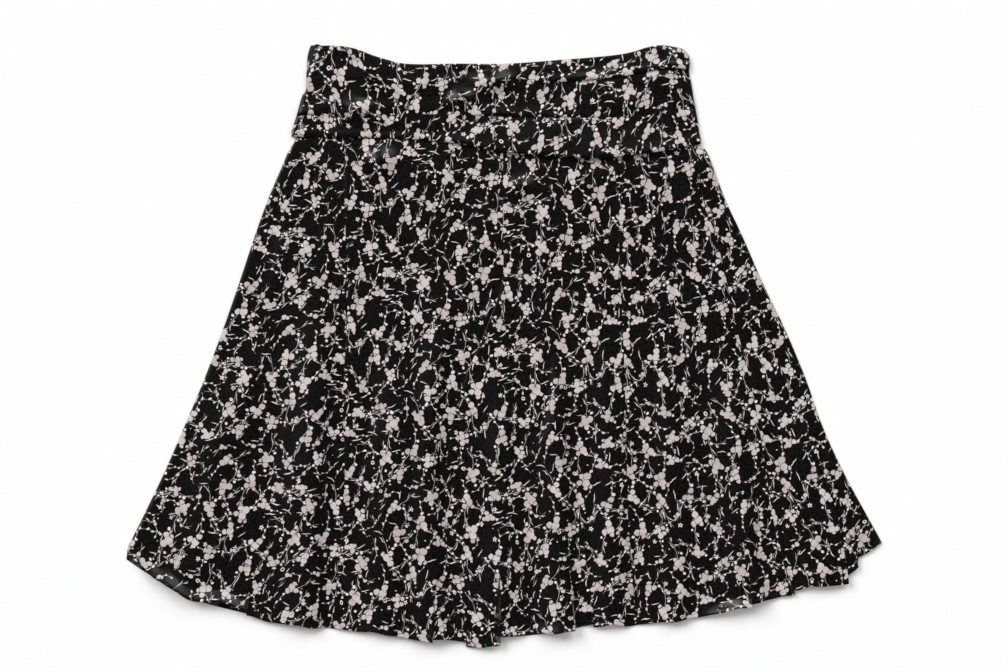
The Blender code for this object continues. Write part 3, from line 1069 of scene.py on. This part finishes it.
def new_group(name, inputs, outputs):
    """An empty node group, its inputs as formulas and the sockets that take its results."""
    tree = bpy.data.node_groups.new(name, "ShaderNodeTree")
    for label, kind in inputs.items():
        tree.interface.new_socket(label, in_out="INPUT", socket_type="NodeSocket" + kind)
    for label in outputs:
        tree.interface.new_socket(label, in_out="OUTPUT", socket_type="NodeSocketFloat")
    source = tree.nodes.new("NodeGroupInput")
    results = tree.nodes.new("NodeGroupOutput")
    return tree, [Formula(source.outputs[label]) for label in inputs], results.inputs


def use_group(group, **values):
    """All results of a group, by name."""
    first = made("Group", values, node_tree=group)
    return {socket.name: Formula(socket) for socket in first.socket.node.outputs}


# ---------- the print

# A small all-over blossom print. It repeats every 138 mm along the cloth and 110.4 mm across it,
# and each column of sprays starts half a cell lower than the last.
SPRAY_CELL = 27.6  # one blossom spray to each cell of a shaken grid
REPEAT_ACROSS = 4 * SPRAY_CELL
REPEAT_ALONG = 5 * SPRAY_CELL
SPRAY_DROP = 0.5
SPRAY_SHAKE = 0.30
SPRIG_SHAKE = 0.13  # small sprigs fill the corners between four sprays
SCATTER_SHAKE = 0.22
INK_EDGE = 0.12  # half the width over which ink fades at its edge
HALF_CELL = (0.5, 0.5, 0)

# A spray varies between two extremes: each dot has its place and radius in one and in the other.
DOT = "x1 y1 radius1 x2 y2 radius2"
PETALS = table(
    DOT,
    (0.4, 0.2, 3.6, -0.6, -2, 3.1),
    (4.9, 1.4, 2.3, 4.4, 0.9, 3.2),
    (-1.4, 4.8, 2.8, -3.9, 2.6, 2.2),
    (2.8, -4.5, 1.7, 1.4, 4.9, 2.2),
    (-3.6, -1.4, 1.8, -3.8, -4.8, 1.9),
)
BUDS = table(
    DOT,
    (9.6, 4.4, 1.2, 8.8, -2.2, 1.4),
    (-6.6, 6.4, 1.2, -9.2, 4.4, 1.1),
    (-6.6, -4.2, 1.2, 6.4, 6.8, 1.1),
)
SPRIG_PETALS = table(
    DOT,
    (0, 0, 1.6, 0.9, 0.3, 2.3),
    (3.6, 0.9, 1.2, -3.4, 1.9, 1.5),
)
STEM = "direction start length bend leaves"
STEMS = table(
    STEM,
    (20, 4, 23, 9.5, False),
    (145, 3, 22, 9.5, True),
)
SPRIG_STEMS = table(
    STEM,
    (35, 0, 12, 4.5, True),
    (200, 0, 12.5, -4.5, False),
)
STEM_SWAY = 0.9  # radians that a stem's direction varies by
STEM_HALF_WIDTH = 0.19
STEM_THINNER = 0.12  # and it is this much thinner at its tip
BEAD_PITCH = 4.4
BEAD_ASIDE = 0.8
BEAD_RADIUS = 0.40
BEAD_GROWTH = 0.75  # beads are this much larger at the tip
LEAF_PITCH = 12.5
LEAF_HALF_WIDTH = 0.95
LEAF_ASIDE = 1.7  # where a leaf is widest
LONGER = 0.92  # sprays are drawn longer one way than the other
LEAN = 0.70  # and lean this many radians from the cross grain
SPRAY_SWING = 1.45  # give or take this much
STROKE_SWING = 1


def dots(place, rows, chance):
    """Distance to the nearest of some dots, and to the second nearest."""
    nearest = second = None
    for dot in rows:
        change = (dot.x2 - dot.x1, dot.y2 - dot.y1, 0)
        centre = calc("MULTIPLY_ADD", chance, change, (dot.x1, dot.y1, 0))
        away = beside(calc("DISTANCE", place, centre), "Value")
        away = away - line_of(chance, dot.radius2 - dot.radius1, dot.radius1)
        if nearest is None:
            nearest, second = away, away + 100
        else:
            second = lowest(second, highest(nearest, away))
            nearest = lowest(nearest, away)
    return nearest, second


def stem(place, row, chance):
    """Distance to a thin bent stem, with leaves on both sides or with beads on it."""
    turn = line_of(chance, STEM_SWAY, -math.radians(row.direction) - STEM_SWAY / 2)
    along_it = turned_by(place, turn)
    along = part(along_it, "X")
    aside = part(along_it, "Y") - along * along * (row.bend / row.length ** 2)
    off = abs(aside)
    past_end = along - row.length
    thin = off - line_of(along, -STEM_THINNER / row.length, STEM_HALF_WIDTH)
    line = highest(thin, row.start - along, past_end)
    if row.leaves:
        phase = line_of(calc("SIGN", aside), 0.22, 0.3)
        step = fraction(line_of(line_of(off, -LEAF_ASIDE, along), 1 / LEAF_PITCH, phase)) - 0.5
        width = line_of(abs(off - LEAF_ASIDE), -0.55, LEAF_HALF_WIDTH)
        leaf = highest(abs(step * LEAF_PITCH) - width, 0.3 - off)
        return lowest(line, highest(leaf, 0.4 * row.length - along, past_end))
    count = line_of(along, 1 / BEAD_PITCH, 0.2)
    run = (fraction(count) - 0.5) * BEAD_PITCH
    across = aside - calc("SIGN", fraction(count * 0.5) - 0.5) * BEAD_ASIDE
    radius = line_of(along, BEAD_GROWTH / row.length, BEAD_RADIUS)
    bead = calc("SQRT", run * run + across * across) - radius
    return lowest(line, highest(bead, 0.42 * row.length - along, past_end + 0.5))


def leaning(place, dice, spread):
    """The place seen along the way the print leans, more or less, either way up."""
    swing = line_of(part(dice, "Z"), 2 * spread, LEAN - spread)
    over = calc("GREATER_THAN", fraction(part(dice, "X") * 13.7), 0.5)
    return turned_by(place, (swing + over * math.pi) * -1)


def shaken(place, dice, room):
    """The place seen from a centre that is up to room away from its cell's middle."""
    centre = calc("MULTIPLY_ADD", dice, (2 * room, 2 * room, 0), (-room, -room, 0))
    return place - centre


def spray_group(name, shake, petals, buds, stems, smallest, more):
    """A spray as a group: how far a place is from its petals, its second petal and its fine parts."""
    inputs = {"place": "Vector", "cell": "Vector", "seed": "Float"}
    tree, (place, cell, seed), results = new_group(name, inputs, ["petals", "second", "fine"])
    dice, die = luck(cell, seed)
    local = leaning(shaken(place, dice, shake * SPRAY_CELL), dice, SPRAY_SWING)
    size = line_of(die, more, smallest)
    local = calc("DIVIDE", local, size) * (LONGER, 1, 0)
    chances = (fraction(part(dice, "X") * 7.31), fraction(part(dice, "Y") * 5.17))
    nearest, second = dots(local, petals, chances[0])
    fine = lowest(*[stem(local, row, chances[index % 2]) for index, row in enumerate(stems)])
    if buds:
        fine = lowest(fine, dots(local, buds, chances[1])[0])
    for label, value in (("petals", nearest), ("second", second), ("fine", fine)):
        feed(value * size, results[label])
    return tree


def cell_name(cell, cell_size):
    """The cell's place within the repeat."""
    columns, rows = round(REPEAT_ACROSS / cell_size), round(REPEAT_ALONG / cell_size)
    far = cell + (1000 * columns, 1000 * rows, 0)
    return calc("MODULO", far, (columns, rows, 1))


def dropped(place, drop):
    """The place, moved along the cloth by a share of how far across it is."""
    return calc("MULTIPLY_ADD", part(place, "X"), (0, drop, 0), place)


def sprays_around(place, spray, sprig):
    """The sprays of the four nearest cells, which may reach in, and the sprig between them."""
    grid = times(dropped(place, -SPRAY_DROP), 1 / SPRAY_CELL)
    corner = calc("FLOOR", grid - HALF_CELL)
    found = []
    for right in (0, 1):
        for up in (0, 1):
            found.append(drawn_in(grid, corner + (right, up, 0), HALF_CELL, spray, 1))
    crossing = calc("FLOOR", grid + HALF_CELL)
    found.append(drawn_in(grid, crossing, (0, 0, 0), sprig, 11))
    return found


def drawn_in(grid, cell, centre, group, seed):
    """A spray or sprig with its centre this far from the lower left corner of its cell."""
    local = times(grid - (cell + centre), SPRAY_CELL)
    return use_group(group, place=dropped(local, SPRAY_DROP), cell=cell_name(cell, SPRAY_CELL), seed=seed)


def dot_shape(local, dice):
    return length_of(local) - line_of(part(dice, "Z") * part(dice, "X"), 1.3, 0.55)


def stroke_shape(local, dice):
    spun = leaning(local, dice, STROKE_SWING)
    along = part(spun, "X")
    aside = part(spun, "Y") - along * along * line_of(part(dice, "Y"), 0.08, -0.04)
    thin = calc("SQRT", aside * aside + along * along * 0.009)
    return thin - line_of(part(dice, "X"), 0.26, 0.30)


def floret_shape(local, dice):
    spun = turned_by(local, part(dice, "Z") * (2 * math.pi))
    away = length_of(local)
    lobes = calc("COSINE", calc("ARCTAN2", part(spun, "Y"), part(spun, "X")) * 5)
    return highest(away - line_of(lobes, 0.7, 1.7), 0.45 - away)


def ring_shape(local, dice):
    return abs(length_of(local) - 1.4) - 0.5


# Small shapes on grids of their own, one to each cell that keeps it.
SCATTERS = table(
    "shape cell_size seed kept offset",
    (dot_shape, 9.2, 3, 0.14, (0, 0, 0)),
    (stroke_shape, 13.8, 4, 0.66, (5, 3, 0)),
    (floret_shape, 13.8, 5, 0.17, (4, 3, 0)),
    (ring_shape, 13.8, 7, 0.08, (9, 5, 0)),
)


def scattered(place, row):
    grid = times(place + row.offset, 1 / row.cell_size)
    inner = calc("FRACTION", grid) - HALF_CELL
    dice, die = luck(cell_name(calc("FLOOR", grid), row.cell_size), row.seed)
    local = shaken(times(inner, row.cell_size), dice, SCATTER_SHAKE * row.cell_size)
    left_out = calc("GREATER_THAN", die, row.kept) * 50
    return row.shape(local, dice) + left_out


def inked(distance):
    """1 inside a shape and 0 outside it."""
    return ramp(distance, -INK_EDGE, INK_EDGE, 1, 0)


def print_group():
    """The whole print as a group: where there is ink, and how pale it is."""
    tree, (place,), results = new_group("blossom print", {"place": "Vector"}, ["ink", "tone"])
    uneven = noise(place, 0.19, 2)
    wobble = beside(uneven, "Color") - (0.5, 0.5, 0.5)
    drawn = calc("MULTIPLY_ADD", wobble, (2.2, 2.2, 0), place)
    spray = spray_group("blossom spray", SPRAY_SHAKE, PETALS, BUDS, STEMS, 0.83, 0.31)
    sprig = spray_group("small sprig", SPRIG_SHAKE, SPRIG_PETALS, (), SPRIG_STEMS, 0.72, 0.3)
    sprays = sprays_around(drawn, spray, sprig)
    petals, second, fine = [lowest(*[found[label] for found in sprays])
                            for label in ("petals", "second", "fine")]
    gap_at = line_of(uneven, 2.4, -0.95)
    gaps = ramp(second - petals, gap_at - 0.15, gap_at + 0.15)
    clear = ramp(petals, 0.25, 0.5)
    between = ramp(lowest(petals, fine), 0.5, 0.9)
    small = lowest(*[scattered(drawn, row) for row in SCATTERS])
    feed(highest(inked(petals) * gaps, inked(fine) * clear, inked(small) * between), results["ink"])
    feed(noise(place, 0.05, 2) + clear * 0.5, results["tone"])
    return tree


# ---------- materials

GROUND = (0.0005, 0.0004, 0.0005, 1)
GROUND_WORN = (0.0075, 0.0067, 0.0064, 1)
INK_WARM = (0.475, 0.408, 0.386, 1)
INK_PALE = (0.575, 0.510, 0.488, 1)
INK_FINE = (0.70, 0.64, 0.615, 1)  # stems and beads are printed paler than petals
INK_RUBBED = (0.28, 0.24, 0.23, 1)  # and all ink is thinner where the crepe's grains stand up
WRONG_SIDE_INK = 0.12
FLOOR_COLOUR = (0.89, 0.89, 0.89, 1)


def new_material(name, shine):
    material = bpy.data.materials.new(name)
    material.use_nodes = True
    shader = material.node_tree.nodes["Principled BSDF"].inputs
    shader["Specular IOR Level"].default_value = shine
    return material, shader


def printed_cloth(name, group, strength, roughness):
    """Thin printed crepe. strength is how much of the print shows on this face."""
    material, shader = new_material(name, 0.21)
    place = times(made("UVMap", {}, tree=material.node_tree, uv_map="cloth"), 1 / MM)
    pattern = use_group(group, place=place)
    ink = mixed(ramp(pattern["tone"], 0.35, 0.65), INK_WARM, INK_PALE)
    ink = mixed(ramp(pattern["tone"], 0.75, 1), ink, INK_FINE)
    slub = noise(place, 0.45, 3)
    ink = mixed(ramp(slub, 0.5, 0.75, 0, 0.18), ink, INK_RUBBED)
    ground = mixed(ramp(slub, 0.35, 0.65), GROUND, GROUND_WORN)
    feed(mixed(pattern["ink"] * strength, ground, ink), shader["Base Color"])
    feed(line_of(pattern["ink"], 0.28, roughness), shader["Roughness"])
    crepe = {"Height": noise(place, 1.1, 3), "Strength": 0.35, "Distance": 0.0002}
    feed(made("Bump", crepe), shader["Normal"])
    return material


def thread_cloth(name, colour, ribs, roughness):
    """Plain woven tape or thread: fine ribs and a slight change of tone."""
    material, shader = new_material(name, 0.25)
    where = made("TexCoord", {}, "Object", tree=material.node_tree)
    place = where * (1 / MM, 1 / MM, 1 / MM)
    darker = tuple(0.6 * value for value in colour) + (1,)
    feed(mixed(noise(place, 0.8, 2), darker, colour + (1,)), shader["Base Color"])
    feed(roughness, shader["Roughness"])
    ribbed = {"Height": calc("SINE", part(place, "Y") * ribs), "Strength": 0.4, "Distance": 0.0001}
    feed(made("Bump", ribbed), shader["Normal"])
    return material


# ---------- floor, light and camera

FLOOR_HALF = 4
CAMERA_ABOVE = 2.287
CAMERA_NORTH = 0.0072

# Soft lamps far away; azimuth is where each stands, 0 at the waist's end and 90 at the right.
SUNS = table(
    "name azimuth elevation strength angle shines",
    ("key", -50, 36, 2.30, 32, True),
    ("second", 23, 38, 1.4, 34, True),
    ("fill_left", -110, 42, 0.25, 40, False),
    ("fill_right", 84, 36, 0.74, 40, False),
    ("overhead", 0, 84, 0.50, 60, False),
)


def make_floor():
    material, shader = new_material("pale_floor", 0.1)
    feed(FLOOR_COLOUR, shader["Base Color"])
    feed(0.9, shader["Roughness"])
    corners = [(x * FLOOR_HALF, y * FLOOR_HALF, 0) for x, y in ((-1, -1), (1, -1), (1, 1), (-1, 1))]
    mesh_piece("floor", corners, [(0, 1, 2, 3)], material)


def make_light():
    for sun in SUNS:
        light = bpy.data.lights.new(sun.name, "SUN")
        light.energy = sun.strength
        light.angle = math.radians(sun.angle)
        lamp = put(sun.name, light)
        lamp.rotation_euler = (math.radians(sun.elevation - 90), 0, math.radians(-sun.azimuth))
        lamp.visible_glossy = sun.shines
    studio = bpy.data.worlds.new("studio")
    studio.use_nodes = True
    background = studio.node_tree.nodes["Background"].inputs
    feed((1, 1, 1, 1), background["Color"])
    feed(0.06, background["Strength"])
    bpy.context.scene.world = studio
    bpy.context.scene.view_settings.view_transform = "Standard"


def make_camera():
    camera = bpy.data.cameras.new("camera")
    camera.lens = 85
    camera.sensor_width = 36
    holder = put("camera", camera)
    holder.location = (0, CAMERA_NORTH, CAMERA_ABOVE)
    bpy.context.scene.camera = holder


# ---------- putting it together


def dress(piece):
    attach(piece, "root")


def declare(piece, node):
    """A sheet of cloth, which may stand for a node of the frame."""
    if node:
        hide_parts(node)
    dress(piece)


def main():
    group = print_group()
    faces = (printed_cloth("printed_crepe", group, 1, 0.30),
             printed_cloth("printed_crepe_wrong_side", group, WRONG_SIDE_INK, 0.5))
    tape = thread_cloth("zip_tape_weave", (0.014, 0.013, 0.014), 9, 0.6)
    # The zip's teeth are coloured pale grey as a painted highlight: the colour stands in for glints on
    # dark, glossy teeth.
    painted_glint_teeth = thread_cloth("zip_teeth_painted_glints", (0.52, 0.52, 0.54), 0.5, 0.25)
    thread = thread_cloth("black_thread", (0.012, 0.011, 0.011), 14, 0.55)
    backs = [gore.name for gore in BACK_GORES]
    fronts = [gore.name for gore in FRONT_GORES]
    sheets = {}
    sides = ((make_back_gore, BACK_GORES, ["floor"]), (make_front_gore, FRONT_GORES, backs))
    for make_gore, gores, under in sides:
        for gore in gores:
            piece, sheets[gore.name] = make_gore(gore, *faces)
            declare(piece, gore.name)
    declare(make_back_band(*faces), "waistband_back")
    declare(make_front_band(*faces), "waistband_front")
    declare(make_zip_tape(tape), "side_zip")
    dress(make_zip_teeth(painted_glint_teeth))
    declare(make_turned_edge(*faces), None)
    for side, names in (("front", fronts), ("back", backs)):
        stitches = make_stitches(side + "_hem_stitches", [sheets[name] for name in names], thread)
        dress(stitches)
    make_floor()
    make_light()
    make_camera()


main()
